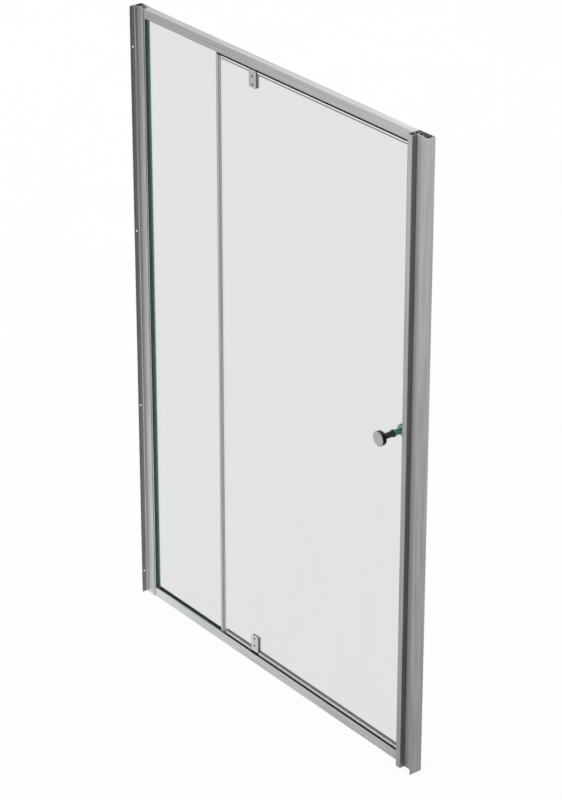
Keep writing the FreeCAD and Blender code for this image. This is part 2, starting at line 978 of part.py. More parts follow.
# ---------------------------------------------------------------- all nodes
def pivot_nodes(label, end, inwards, gap):
    return {
        label + "_pivot_cover": pivot_cover(end, inwards),
        label + "_pivot_body": pivot_body(end, inwards),
        label + "_pivot_pad_outer": pivot_pad(end, inwards, -1),
        label + "_pivot_pad_inner": pivot_pad(end, inwards, 1),
        label + "_pivot_screws": pivot_screws(end, inwards),
        label + "_pivot_pin": pivot_pin(end, inwards, gap),
        label + "_pivot_collar": pivot_collar(end, inwards, gap),
    }


def all_nodes():
    nodes = {
        "left_wall_channel": left_wall_channel(),
        "right_wall_channel": right_wall_channel(),
        "left_jamb": left_jamb(),
        "strike_jamb": strike_jamb(),
        "top_rail": top_rail(),
        "bottom_rail": bottom_rail(),
        "corner_screws_left": corner_screws_left(),
        "corner_screws_right": corner_screws_right(),
        "side_screws_left": side_screws(side_screw_x),
        "side_screws_right": side_screws(-side_screw_x),
        "fixed_glass": fixed_glass(),
        "fixed_gasket_side": fixed_gasket_side(),
        "fixed_gasket_top": fixed_gasket_top(),
        "fixed_gasket_bottom": fixed_gasket_bottom(),
        "fixed_edge_profile": fixed_edge_profile(),
        "fixed_edge_gasket": fixed_edge_gasket(),
        "fixed_edge_seal": fixed_edge_seal(),
        "top_infill_short": flipped(infill_seal(infill_top_foot, *infill_short)),
        "top_infill_long": flipped(infill_seal(infill_top_foot, *infill_long)),
        "bottom_infill_short": infill_seal(infill_bottom_foot, *infill_short),
        "bottom_infill_long": infill_seal(infill_bottom_foot, *infill_long),
        "top_pivot_bush": flipped(pivot_bush()),
        "bottom_pivot_bush": pivot_bush(),
        "strike_magnet_carrier": strike_magnet_carrier(),
        "strike_magnet": strike_magnet(),
        "door_glass": door_glass(),
        "door_top_strip_short": top_strip(*strip_short),
        "door_top_strip_long": top_strip(*strip_long),
        "door_sweep_short": bottom_strip(*strip_short),
        "door_sweep_long": bottom_strip(*strip_long),
        "door_seal": door_seal(),
        "door_magnet": door_magnet(),
        "knob_outer": turned_knob(outer_knob_radius, outer_knob_disc),
        "knob_inner": mirrored(turned_knob(inner_knob_radius, inner_knob_disc)),
        "knob_washer_outer": knob_washer_outer(),
        "knob_washer_inner": mirrored(knob_washer_outer()),
        "knob_stud": knob_stud(),
    }
    nodes.update(pivot_nodes("top", top_block_end, -1, door_top_gap))
    nodes.update(pivot_nodes("bottom", bottom_block_end, 1, bottom_block_gap))
    return nodes


def main():
    os.makedirs("parts", exist_ok=True)
    for name, shape in all_nodes().items():
        solids = shape.Solids
        volume = sum(solid.Volume for solid in solids)
        print(f"{name:24s} solids {len(solids)}  valid {shape.isValid()}  {volume / 1000:10.2f} cm3")
        shape.exportStep(f"parts/{name}.step")


main()
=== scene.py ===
import math

import bmesh
import bpy
from mathutils import Matrix, Vector


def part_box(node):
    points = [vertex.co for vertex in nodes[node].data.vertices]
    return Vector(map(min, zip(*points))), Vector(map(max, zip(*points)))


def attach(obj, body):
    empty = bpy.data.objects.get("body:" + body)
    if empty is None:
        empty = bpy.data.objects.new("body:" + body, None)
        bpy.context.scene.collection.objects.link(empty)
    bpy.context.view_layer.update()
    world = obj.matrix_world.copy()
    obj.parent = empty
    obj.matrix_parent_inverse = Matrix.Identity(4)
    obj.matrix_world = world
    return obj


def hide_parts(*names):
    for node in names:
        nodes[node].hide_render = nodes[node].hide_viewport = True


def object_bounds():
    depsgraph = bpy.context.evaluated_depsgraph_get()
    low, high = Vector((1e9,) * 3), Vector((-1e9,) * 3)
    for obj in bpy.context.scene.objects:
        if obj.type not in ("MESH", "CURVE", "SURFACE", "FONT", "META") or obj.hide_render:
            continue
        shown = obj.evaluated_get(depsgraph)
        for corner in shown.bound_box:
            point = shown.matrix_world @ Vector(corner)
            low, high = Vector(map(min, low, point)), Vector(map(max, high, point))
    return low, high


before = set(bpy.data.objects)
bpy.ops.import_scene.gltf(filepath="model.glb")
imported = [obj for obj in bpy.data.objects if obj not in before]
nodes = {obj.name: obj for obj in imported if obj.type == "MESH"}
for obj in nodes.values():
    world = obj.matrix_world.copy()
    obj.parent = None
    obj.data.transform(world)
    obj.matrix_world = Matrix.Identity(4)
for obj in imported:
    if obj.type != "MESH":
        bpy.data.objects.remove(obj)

# Looks for a framed pivot shower door: aluminium frame, clear glass with green edges, seals,
# pivot blocks and a round knob. Metres; X along the opening, -Y towards the room, Z up.

MM = 0.001
cad_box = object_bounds()

# ---------------------------------------------------------------- camera
# The photograph keeps its uprights parallel, which needs a far larger lens shift than other views
# can keep, so this is the tilted camera that comes nearest to it over the whole object.
FRAME_HEIGHT_PX = 800
SENSOR_MM = 36.0
FOCAL_PX = 3081.0
SHIFT_DOWN_PX = 80
CAMERA_PLACE = (5.903, -4.615, 4.702)
CAMERA_YAW = 51.9                # degrees
CAMERA_PITCH = 25.53


def make_camera():
    data = bpy.data.cameras.new("camera")
    data.sensor_width = SENSOR_MM
    data.lens = FOCAL_PX / FRAME_HEIGHT_PX * SENSOR_MM
    data.shift_y = -SHIFT_DOWN_PX / FRAME_HEIGHT_PX
    camera = bpy.data.objects.new("camera", data)
    camera.location = CAMERA_PLACE
    camera.rotation_euler = (math.radians(90 - CAMERA_PITCH), 0, math.radians(CAMERA_YAW))
    bpy.context.scene.collection.objects.link(camera)
    bpy.context.scene.camera = camera


# ---------------------------------------------------------------- material helpers
NOISE_ROUGHNESS = 0.55


class Look:
    """A material with one Principled shader, and short ways to feed it."""

    def __init__(self, name, **constants):
        """Constants are named as the shader's sockets, with _ for a space."""
        self.material = bpy.data.materials.new(name)
        self.material.use_nodes = True
        self.tree = self.material.node_tree
        self.tree.nodes.clear()
        self.output = self.tree.nodes.new("ShaderNodeOutputMaterial")
        self.shader = self.tree.nodes.new("ShaderNodeBsdfPrincipled")
        self.link(self.shader.outputs["BSDF"], self.output.inputs["Surface"])
        self.place = self.tree.nodes.new("ShaderNodeTexCoord").outputs["Object"]
        for socket, value in constants.items():
            self.shader.inputs[socket.replace("_", " ")].default_value = value

    def link(self, source, target):
        self.tree.links.new(source, target)

    def feed(self, socket, source):
        self.link(source, self.shader.inputs[socket])

    def mapped(self, scale, offset=(0, 0, 0)):
        """The point on the object, scaled along X, Y and Z and then moved."""
        mapping = self.tree.nodes.new("ShaderNodeMapping")
        mapping.inputs["Scale"].default_value = scale
        mapping.inputs["Location"].default_value = offset
        self.link(self.place, mapping.inputs["Vector"])
        return mapping.outputs["Vector"]

    def noise(self, cells, detail):
        """Noise with its own number of cells per metre along X, Y and Z."""
        texture = self.tree.nodes.new("ShaderNodeTexNoise")
        texture.inputs["Scale"].default_value = 1.0
        texture.inputs["Detail"].default_value = detail
        texture.inputs["Roughness"].default_value = NOISE_ROUGHNESS
        self.link(self.mapped(cells), texture.inputs["Vector"])
        return texture.outputs["Fac"]

    def blend(self, value, low, high, start=0.3, end=0.7):
        """Colour from low to high as value goes from start to end."""
        ramp = self.tree.nodes.new("ShaderNodeValToRGB")
        ramp.color_ramp.elements[0].position = start
        ramp.color_ramp.elements[0].color = (*low, 1)
        ramp.color_ramp.elements[1].position = end
        ramp.color_ramp.elements[1].color = (*high, 1)
        self.link(value, ramp.inputs["Fac"])
        return ramp.outputs["Color"]

    def span(self, value, low, high, start=0.3, end=0.7):
        """Number from low to high as value goes from start to end."""
        node = self.tree.nodes.new("ShaderNodeMapRange")
        node.inputs["From Min"].default_value = start
        node.inputs["From Max"].default_value = end
        node.inputs["To Min"].default_value = low
        node.inputs["To Max"].default_value = high
        self.link(value, node.inputs["Value"])
        return node.outputs["Result"]

    def mixed(self, first, second, share):
        """Two numbers mixed, with this share of the second."""
        node = self.tree.nodes.new("ShaderNodeMix")
        node.data_type = "FLOAT"
        node.inputs["Factor"].default_value = share
        self.link(first, node.inputs["A"])
        self.link(second, node.inputs["B"])
        return node.outputs["Result"]

    def surface(self, value, dark, light, rough):
        """Base colour and roughness that both follow the value."""
        self.feed("Base Color", self.blend(value, dark, light))
        self.feed("Roughness", self.span(value, *rough))

    def bump(self, height, depth):
        """Relief of the given depth."""
        node = self.tree.nodes.new("ShaderNodeBump")
        node.inputs["Strength"].default_value = 1.0
        node.inputs["Distance"].default_value = depth
        self.link(height, node.inputs["Height"])
        self.feed("Normal", node.outputs["Normal"])

    def lets_lamps_through(self, tint):
        """Shadow rays pass, tinted, so that lamps light what is behind."""
        clear = self.tree.nodes.new("ShaderNodeBsdfTransparent")
        clear.inputs["Color"].default_value = (*tint, 1)
        path = self.tree.nodes.new("ShaderNodeLightPath")
        mix = self.tree.nodes.new("ShaderNodeMixShader")
        self.link(path.outputs["Is Shadow Ray"], mix.inputs["Fac"])
        self.link(self.shader.outputs["BSDF"], mix.inputs[1])
        self.link(clear.outputs["BSDF"], mix.inputs[2])
        self.link(mix.outputs["Shader"], self.output.inputs["Surface"])


def even(cells):
    """The same number of cells along all three axes."""
    return (cells, cells, cells)


# ---------------------------------------------------------------- materials
# Colours are linear. Roughness is a pair: at the low and at the high end of the grain.
FINE_LINES = 1400.0              # drawing lines per metre across an extrusion
WIDE_LINES = 260.0
LINES_ALONG = 5.0
LINE_DEPTH = 0.008 * MM
SATIN = (0.52, 0.38)             # roughness of anodised alloy
ANODISED = 0.85                  # how metallic an anodised face looks
DULL = 0.25
SLOT_DULL = 0.2
COOL_TINT = (0, 0.004, 0.003)    # added to a grey's red, green and blue
GREEN_TINT = (-0.34, 0.15, 0.02)

GLASS_IOR = 1.5
GLASS_FACE_DARK = (0.745, 0.757, 0.75)
GLASS_FACE_LIGHT = (0.757, 0.768, 0.762)
GLASS_SHADOW = (0.84, 0.87, 0.86)
GLASS_EDGE_DARK = (0.055, 0.20, 0.145)
GLASS_EDGE_LIGHT = (0.13, 0.34, 0.26)

VINYL_IOR = 1.45
SEAL_DARK = (0.74, 0.78, 0.77)
SEAL_LIGHT = (0.86, 0.89, 0.88)
SEAL_SHADOW = (0.75, 0.78, 0.77)
PAD_DARK = (0.42, 0.76, 0.65)
PAD_LIGHT = (0.52, 0.85, 0.75)


def line_scale(across, along):
    return tuple(LINES_ALONG if axis == along else across for axis in "XYZ")


def painted_light_drift(look):
    """Painted light and shade over the frame: two opposite corners lighter, two darker."""
    split = look.tree.nodes.new("ShaderNodeSeparateXYZ")
    low, high = (Vector(corner) for corner in cad_box)
    half = (high - low) / 2
    scale = (1 / half.x, 1, 1 / half.z)
    look.link(look.mapped(scale, (0, 0, -1)), split.inputs["Vector"])
    product = look.tree.nodes.new("ShaderNodeMath")
    product.operation = "MULTIPLY"
    look.link(split.outputs["X"], product.inputs[0])
    look.link(split.outputs["Z"], product.inputs[1])
    return look.span(product.outputs["Value"], low=0.0, high=1.0, start=-1.0, end=1.0)


def extruded_alloy(name, along, middle, drift, tint=COOL_TINT, metal=ANODISED):
    """Satin anodised aluminium with drawing lines along the bar and a slow drift of painted light and
    shade over the frame.
    """
    look = Look(name, Metallic=metal)
    fine = look.noise(line_scale(FINE_LINES, along), detail=4.0)
    wide = look.noise(line_scale(WIDE_LINES, along), detail=2.0)
    lines = look.mixed(fine, wide, share=0.6)
    # the drift mixed in here is painted light and shade over the frame, not a tone of the alloy
    both = look.mixed(look.span(lines, low=0.0, high=1.0), painted_light_drift(look), share=0.5)
    dark, light = (tuple(middle + side * drift + add for add in tint) for side in (-1, 1))
    look.feed("Base Color", look.blend(both, dark, light, start=0.1, end=0.9))
    look.feed("Roughness", look.span(lines, *SATIN))
    look.bump(fine, LINE_DEPTH)
    return look.material


def glass_face():
    """Clear float glass with the faintest unevenness and drying marks."""
    look = Look("glass_face", Transmission_Weight=1.0, IOR=GLASS_IOR)
    marks = look.noise((14.0, 14.0, 3.0), detail=6.0)
    look.feed("Base Color", look.blend(marks, GLASS_FACE_DARK, GLASS_FACE_LIGHT))
    look.feed("Roughness", look.span(marks, low=0.0, high=0.02, start=0.45, end=0.8))
    look.lets_lamps_through(GLASS_SHADOW)
    return look.material


def glass_edge():
    """Ground edge of the glass: deep green, lighter where the grinding scatters light."""
    look = Look("glass_edge", Transmission_Weight=0.35, IOR=GLASS_IOR)
    grinding = look.noise(even(420.0), detail=4.0)
    look.surface(grinding, GLASS_EDGE_DARK, GLASS_EDGE_LIGHT, rough=(0.18, 0.36))
    look.bump(grinding, depth=0.03 * MM)
    return look.material


def rubber(name, dark, light, gloss=0.35):
    look = Look(name, Specular_IOR_Level=gloss)
    grain = look.noise(even(900.0), detail=3.0)
    dust = look.noise(even(30.0), detail=4.0)
    look.surface(look.mixed(grain, dust, share=0.6), dark, light, rough=(0.5, 0.72))
    look.bump(grain, depth=0.04 * MM)
    return look.material


def plastic(name, dark, light):
    look = Look(name)
    grain = look.noise(even(700.0), detail=2.0)
    clouds = look.noise(even(25.0), detail=3.0)
    look.surface(look.mixed(grain, clouds, share=0.5), dark, light, rough=(0.3, 0.42))
    look.bump(grain, depth=0.02 * MM)
    return look.material


def clear_seal():
    """Soft translucent plastic, a little milky, with lines along its upright run."""
    look = Look("clear_seal", Transmission_Weight=0.8, IOR=VINYL_IOR)
    lines = look.noise((300.0, 300.0, 5.0), detail=3.0)
    look.surface(lines, SEAL_DARK, SEAL_LIGHT, rough=(0.16, 0.3))
    look.lets_lamps_through(SEAL_SHADOW)
    return look.material


def pad_vinyl():
    """Soft clear vinyl, painted the green of the glass beside it, as painted light seen through the
    glass.
    """
    look = Look("pad_vinyl", Transmission_Weight=0.2, IOR=VINYL_IOR)
    clouds = look.noise(even(200.0), detail=3.0)
    look.surface(clouds, PAD_DARK, PAD_LIGHT, rough=(0.25, 0.4))
    look.bump(clouds, depth=0.03 * MM)
    return look.material


def plated(name, dark, light):
    """Bright plated casting with a very slight ripple."""
    look = Look(name, Metallic=1.0)
    ripple = look.noise(even(160.0), detail=2.0)
    fine = look.noise(even(1200.0), detail=3.0)
    look.surface(fine, dark, light, rough=(0.12, 0.24))
    look.bump(ripple, depth=0.05 * MM)
    return look.material


def steel(name, dark, light):
    look = Look(name, Metallic=1.0)
    grain = look.noise(even(1500.0), detail=3.0)
    look.surface(grain, dark, light, rough=(0.25, 0.42))
    look.bump(grain, depth=0.01 * MM)
    return look.material


RING_SCALE = 400.0               # turning rings of the knobs
RING_WOBBLE = 1.5


def turned_metal(name, axis_place, dark, light):
    """Polished turned metal with fine rings about the knob's axis."""
    look = Look(name, Metallic=1.0)
    x, z = axis_place
    wave = look.tree.nodes.new("ShaderNodeTexWave")
    wave.wave_type = "RINGS"
    wave.rings_direction = "Y"
    wave.inputs["Scale"].default_value = RING_SCALE
    wave.inputs["Distortion"].default_value = RING_WOBBLE
    wave.inputs["Detail"].default_value = 2.0
    look.link(look.mapped((1, 1, 1), (-x, 0, -z)), wave.inputs["Vector"])
    rings = wave.outputs["Fac"]
    haze = look.noise(even(90.0), detail=4.0)
    look.surface(look.mixed(rings, haze, share=0.45), dark, light, rough=(0.10, 0.22))
    look.bump(rings, depth=0.008 * MM)
    return look.material


# ---------------------------------------------------------------- CAD nodes in their materials
def dress(material, *names):
    for name in names:
        slots = nodes[name].data.materials
        slots.clear()
        slots.append(material)


def dress_frame():
    # the post and top rail tones are set to the light that falls on each: lit and shaded copies of one
    # alloy, as painted light and shade
    dress(extruded_alloy("alloy_post", "Z", 0.44, 0.02), "fixed_edge_profile")
    dress(extruded_alloy("alloy_top", "X", 0.41, 0.12), "top_rail")
    infill = rubber("infill_black", (0.002, 0.002, 0.002), (0.005, 0.005, 0.005), gloss=0.05)
    dress(infill, "top_infill_short", "top_infill_long")
    magnet = rubber("magnet_rubber", (0.05, 0.045, 0.04), (0.09, 0.08, 0.075))
    dress(magnet, "door_magnet", "strike_magnet")
    dress(clear_seal(), "fixed_edge_seal", "door_seal", "strike_magnet_carrier")


def dress_fittings(stainless):
    bearing = plastic("bearing_black", (0.008, 0.008, 0.009), (0.02, 0.02, 0.021))
    vinyl = pad_vinyl()
    for end in ("top", "bottom"):
        dress(bearing, f"{end}_pivot_bush", f"{end}_pivot_collar")
        dress(vinyl, f"{end}_pivot_pad_outer", f"{end}_pivot_pad_inner")
        dress(stainless, f"{end}_pivot_pin")
    dress(stainless, "knob_stud")
    dress(vinyl, "knob_washer_inner")
    dress(rubber("washer_black", (0.01, 0.01, 0.01), (0.025, 0.025, 0.025)), "knob_washer_outer")


# ---------------------------------------------------------------- pieces in two materials
FACING = 0.7                     # a face looks along an axis if its normal has more than this on it
SQUARE = 0.99                    # a pane's own faces look along Y more than this, unlike its edges
LOW_FRONT = 0.3                  # the front of a bottom infill slopes this much towards the room
SLOT_DEPTH = (3 * MM, 10.5 * MM)         # Y of the slot walls behind the pane
GASKET_MIDDLE = 0.5 * MM
GASKET_BACK = 0.5                # faces that look back more than this are the gasket's own back
STRIP_TIP_BEVEL = 0.5 * MM
STRIP_LEDGE = 0.04               # the legs start this share of the strip's height past its middle
LEG_MARGIN = 0.1 * MM


def parted(node, body, first, second, in_second):
    """The node's own shape with the faces that the test picks in a second material."""
    mesh = nodes[node].data.copy()
    mesh.name = node + "_parted"
    mesh.materials.clear()
    mesh.materials.append(first)
    mesh.materials.append(second)
    for polygon in mesh.polygons:
        polygon.material_index = 1 if in_second(polygon) else 0
    place_piece(mesh, node, body)


def place_piece(mesh, node, body):
    piece = bpy.data.objects.new(mesh.name, mesh)
    bpy.context.scene.collection.objects.link(piece)
    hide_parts(node)
    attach(piece, body)


def looks_right(polygon):
    return polygon.normal.x > FACING


def looks_to_room(polygon):
    return polygon.normal.y < -FACING


def glass_panes():
    """Clear faces; ground edges, bevels and cut-outs green."""
    face, edge = glass_face(), glass_edge()
    for node, body in (("fixed_glass", "frame"), ("door_glass", "door")):
        parted(node, body, face, edge, lambda polygon: abs(polygon.normal.y) < SQUARE)


def uprights():
    """The bars at the walls, in parts.

    The ear and the strike jamb's side are painted dark, as painted shade for the dark end of the room
    that would show in them. The left channel is painted lighter and the right one darker, as painted
    light and shade. The front of the right channel is dull, so that the jamb's dark side doesn't show
    in it.
    """
    left = extruded_alloy("alloy_left", "Z", 0.50, 0.25)
    right = extruded_alloy("alloy_right", "Z", 0.36, 0.14)
    ear = extruded_alloy("alloy_ear_painted_shade", "Z", 0.21, 0.03)
    shade = extruded_alloy("alloy_shade", "Z", 0.22, 0.03)
    leg = extruded_alloy("alloy_leg", "Z", 0.36, 0.12, metal=DULL)
    for node, alloy, other, picked in (
        ("left_wall_channel", left, ear, looks_right),
        ("strike_jamb", right, shade, looks_right),
        ("right_wall_channel", right, leg, looks_to_room),
    ):
        parted(node, "frame", alloy, other, picked)


def slots():
    """Walls of the glass slots behind the pane: at the left painted pale green, as painted light seen
    through the glass, and below painted dark, as painted shade in the slot. The jamb and rail tones are
    set to the light each gets, as painted light and shade.
    """
    green = extruded_alloy("alloy_slot_painted_light_green", "Z", 0.80, 0.02, tint=GREEN_TINT, metal=SLOT_DULL)
    left = extruded_alloy("alloy_left_jamb", "Z", 0.50, 0.25)
    bottom = extruded_alloy("alloy_bottom", "X", 0.52, 0.22)
    dark = extruded_alloy("alloy_slot_painted_shade", "X", 0.03, 0.01, metal=SLOT_DULL)
    for node, alloy, wall in (("left_jamb", left, green), ("bottom_rail", bottom, dark)):
        parted(node, "frame", alloy, wall, behind_glass)


def behind_glass(polygon):
    front, back = SLOT_DEPTH
    return front < polygon.center.y < back and looks_to_room(polygon)


def pivot_plates():
    """Bright plates, the top cover painted darker as painted shade; the cut edges of the room-side
    covers are painted dark, as painted shade.
    """
    pale = plated("plated_pale", (0.50, 0.505, 0.505), (0.62, 0.625, 0.62))
    grey = plated("plated_top_painted_shade", (0.38, 0.385, 0.385), (0.50, 0.505, 0.50))
    edge = plated("plated_edge_painted_shade", (0.08, 0.083, 0.083), (0.15, 0.153, 0.152))
    for end, face in (("top", grey), ("bottom", pale)):
        parted(end + "_pivot_cover", "door", face, edge,
               lambda polygon: abs(polygon.normal.y) < FACING)
        dress(pale, end + "_pivot_body")


def bottom_infills():
    """Black seals; the low front face is painted grey, as painted light on the face towards the room.
    """
    black = rubber("infill_bottom_black", (0.004, 0.004, 0.004), (0.012, 0.012, 0.012), gloss=0.1)
    grey = rubber("infill_front_painted_light", (0.14, 0.142, 0.14), (0.24, 0.242, 0.24))
    for part in ("short", "long"):
        parted("bottom_infill_" + part, "frame", black, grey,
               lambda polygon: polygon.normal.y < -LOW_FRONT)


def gaskets():
    """Black glazing gaskets; the half behind the glass is painted greener and paler, as painted light
    seen through the glass.

    It is painted a little paler at the side, and much paler below, as painted light where light falls
    on it.
    """
    black = rubber("gasket_black", (0.012, 0.012, 0.013), (0.035, 0.035, 0.036))
    behind = rubber("gasket_behind", (0.06, 0.10, 0.09), (0.11, 0.16, 0.145))
    side = rubber("gasket_behind_side", (0.12, 0.16, 0.17), (0.18, 0.23, 0.24))
    below = rubber("gasket_behind_below", (0.30, 0.56, 0.47), (0.42, 0.68, 0.59))
    looks = {"gasket_side": side, "gasket_top": behind, "gasket_bottom": below, "edge_gasket": behind}
    for place, look in looks.items():
        parted("fixed_" + place, "frame", black, look,
               lambda polygon: polygon.center.y > GASKET_MIDDLE and polygon.normal.y < GASKET_BACK)


def door_strips():
    """Bright strips along the top and bottom of the door, with dark legs on the glass."""
    alloy = extruded_alloy("alloy_strip", "X", 0.74, 0.03)
    dark_legs = rubber("strip_legs", (0.13, 0.137, 0.135), (0.21, 0.217, 0.215))
    for place, towards_glass in (("top_strip", -1), ("sweep", 1)):
        for part in ("short", "long"):
            node = f"door_{place}_{part}"
            low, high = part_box(node)
            leg_half = strip_leg_half(node)
            parted(node, "door", alloy, dark_legs,
                   lambda polygon: is_leg(polygon, leg_half, towards_glass, low[2], high[2]))


def strip_leg_half(node):
    """Half the distance over the two legs: the greatest |y| at the end by the glass."""
    vertices = nodes[node].data.vertices
    middle = (cad_box[0][2] + cad_box[1][2]) / 2
    tip = min(vertices, key=lambda vertex: abs(vertex.co.z - middle)).co.z
    return max(abs(vertex.co.y) for vertex in vertices if abs(vertex.co.z - tip) < STRIP_TIP_BEVEL)


def is_leg(polygon, leg_half, towards_glass, low, high):
    """Faces of the legs: within their thickness, on the side of the strip by the glass."""
    ledge = (low + high) / 2 + towards_glass * (high - low) * STRIP_LEDGE
    beyond = (polygon.center.z - ledge) * towards_glass > 0
    return beyond and abs(polygon.center.y) < leg_half + LEG_MARGIN


# ---------------------------------------------------------------- turned forms
SEGMENTS = 48                    # points round a turned form
SHARP_ANGLE = math.radians(32)
SIXTH = math.pi / 3
ROUND_STEPS = 5                  # facets round a rounded corner


def circle(radius, height):
    turn = 2 * math.pi / SEGMENTS
    return [(radius * math.cos(i * turn), radius * math.sin(i * turn), height) for i in range(SEGMENTS)]


def hexagon(across_flats, height):
    """Hexagon drawn with as many points as a circle."""
    points = []
    for x, y, z in circle(1.0, height):
        turn = math.atan2(y, x) % SIXTH - SIXTH / 2
        radius = across_flats / 2 / math.cos(turn)
        points.append((radius * x, radius * y, z))
    return points


def cross(reach, half_width, height):
    """Plus sign drawn with as many points as a circle."""
    points = []
    for x, y, z in circle(1.0, height):
        near, far = sorted((abs(x), abs(y)))
        radius = reach / far if near * reach <= half_width * far else half_width / near
        points.append((radius * x, radius * y, z))
    return points


def ring_solid(form, rings, place, direction, bands=None):
    """Closed solid through rings of equal count, standing on place along direction.

    Bands gives the material of each band between two rings; without it all are the first.
    """
    bands = bands or [0] * (len(rings) - 1)
    turn = Vector((0, 0, 1)).rotation_difference(Vector(direction)).to_matrix().to_4x4()
    matrix = Matrix.Translation(Vector(place)) @ turn
    loops = [[form.verts.new(matrix @ Vector(point)) for point in ring] for ring in rings]
    for band, first, second in zip(bands, loops, loops[1:]):
        for i in range(SEGMENTS):
            j = (i + 1) % SEGMENTS
            face = form.faces.new((first[i], first[j], second[j], second[i]))
            face.material_index = band
            face.smooth = True
    form.faces.new(list(reversed(loops[0]))).material_index = bands[0]
    form.faces.new(loops[-1]).material_index = bands[-1]


def finish_form(form, name, materials):
    mesh = bpy.data.meshes.new(name)
    form.to_mesh(mesh)
    form.free()
    mesh.set_sharp_from_angle(angle=SHARP_ANGLE)
    for material in materials:
        mesh.materials.append(material)
    return mesh


def rounded_profile(corners):
    """(radius, distance, rounding) corners in millimetres as points with rounded corners."""
    points = []
    for index, (radius, distance, rounding) in enumerate(corners):
        here = Vector((radius, distance))
        if not rounding:
            points.append(here * MM)
            continue
        before = (Vector(corners[index - 1][:2]) - here).normalized()
        after = (Vector(corners[index + 1][:2]) - here).normalized()
        half = before.angle(after) / 2
        reach = rounding / math.tan(half)
        centre = here + (before + after).normalized() * (rounding / math.sin(half))
        first, last = here + before * reach - centre, here + after * reach - centre
        for step in range(ROUND_STEPS + 1):
            arm = first.slerp(last, step / ROUND_STEPS).normalized() * rounding
            points.append((centre + arm) * MM)
    return points


# ---------------------------------------------------------------- knobs
# Lengths are in millimetres; foot, neck and flare are radii.
OUTER_DISC = 13.0                # thickness of the discs
INNER_DISC = 26.0
FOOT = 9.8
FOOT_LENGTH = 3.0
FOOT_BEVEL = 0.5
FOOT_ROUND = 0.6
NECK = 8.5
NECK_FILLET = (0.4, 0.5)         # across and along
FLARE = 11.4
FLARE_LENGTH = 3.4
FLARE_ROUND = 3.0
DISC_BEVEL = 0.7
DISC_ROUND = 1.0
RIM = 4.0                        # width of the raised rim
RIM_SLOPE = 1.4
RIM_HEIGHT = 0.8
RIM_ROUND = 0.8
DISH_DEPTH = 1.0
DISH_CENTRE = 0.6
NECK_BAND, BACK_BAND, EDGE_BAND, FACE_BAND = range(4)
BACK_START = 11.0                # radius where the look of the disc's back starts
BACK_MARGIN = 0.1
EDGE_WIDTH = 0.8                 # the edge's look goes this far onto the face


def knob_profile(radius, length, disc):
    """Foot, neck, flare and disc with a raised rim round a dished face, from the glass outwards."""
    back = length - disc
    across, along = NECK_FILLET
    return (
        (FOOT - FOOT_BEVEL, 0.0, 0), (FOOT, FOOT_BEVEL, 0), (FOOT, FOOT_LENGTH, FOOT_ROUND),
        (NECK + across, FOOT_LENGTH, 0), (NECK, FOOT_LENGTH + along, 0),
        (NECK, back - FLARE_LENGTH, FLARE_ROUND), (FLARE, back, FOOT_ROUND),
        (radius - DISC_BEVEL, back, 0), (radius, back + DISC_BEVEL, 0),
        (radius, length, DISC_ROUND), (radius - RIM, length, RIM_ROUND),
        (radius - RIM - RIM_SLOPE, length - RIM_HEIGHT, RIM_ROUND),
        (DISH_CENTRE, length - DISH_DEPTH, 0),
    )


def knob_bands(points, radius, length, disc):
    """Which look each band between two points takes."""
    bands = []
    for first, second in zip(points, points[1:]):
        reach, narrow = max(first[1], second[1]) / MM, min(first[0], second[0]) / MM
        if reach < length - disc + BACK_MARGIN:
            bands.append(BACK_BAND if narrow > BACK_START else NECK_BAND)
        else:
            bands.append(FACE_BAND if narrow < radius - EDGE_WIDTH else EDGE_BAND)
    return bands


def knob(node, side, disc, looks):
    """Turned knob in four looks: neck, the disc's back, the disc's edge and the dished face."""
    low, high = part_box(node)
    x, z = (low[0] + high[0]) / 2, (low[2] + high[2]) / 2
    base = high[1] if side < 0 else low[1]
    radius, length = (high[0] - low[0]) / 2 / MM, (high[1] - low[1]) / MM
    points = rounded_profile(knob_profile(radius, length, disc))
    rings = [circle(point[0], point[1]) for point in points]
    form = bmesh.new()
    ring_solid(form, rings, (x, base, z), (0, side, 0), knob_bands(points, radius, length, disc))
    place_piece(finish_form(form, node + "_turned", looks), node, "door")


def knobs():
    """The outer knob's neck, back and edge are painted dark, as painted shade. The inner knob's neck
    and edge are painted dark green and its back pale green, as painted shade and painted light seen
    through the glass.
    """
    low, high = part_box("knob_outer")
    axis_place = ((low[0] + high[0]) / 2, (low[2] + high[2]) / 2)
    # side, neck, back and edge looks are painted shade and painted light; the face keeps the metal's
    # tone
    side = turned_metal("knob_side_painted_shade", axis_place, (0.03, 0.031, 0.033), (0.06, 0.061, 0.063))
    face = turned_metal("knob_face", axis_place, (0.36, 0.365, 0.365), (0.47, 0.475, 0.475))
    neck = turned_metal("knob_neck_painted_shade", axis_place, (0.035, 0.15, 0.115), (0.07, 0.23, 0.18))
    back = turned_metal("knob_back_painted_light", axis_place, (0.34, 0.68, 0.58), (0.46, 0.82, 0.72))
    edge = turned_metal("knob_edge_painted_shade", axis_place, (0.025, 0.05, 0.042), (0.045, 0.08, 0.07))
    knob("knob_outer", -1, OUTER_DISC, (side, side, side, face))
    knob("knob_inner", 1, INNER_DISC, (neck, back, edge, face))


# ---------------------------------------------------------------- screws
CLAMP_SHANK = 2.0 * MM           # radius
CLAMP_TIP = 1.4 * MM
CLAMP_TIP_LENGTH = 0.6 * MM
CLAMP_HEAD = 2.0 * MM            # height of the head
CLAMP_CHAMFER = 0.3 * MM
CLAMP_SINK = 0.05 * MM           # the head lies this far below the end of its box
SOCKET = 3.0 * MM                # across the flats
SOCKET_BEVEL = 0.2 * MM
SOCKET_DEPTH = 1.6 * MM

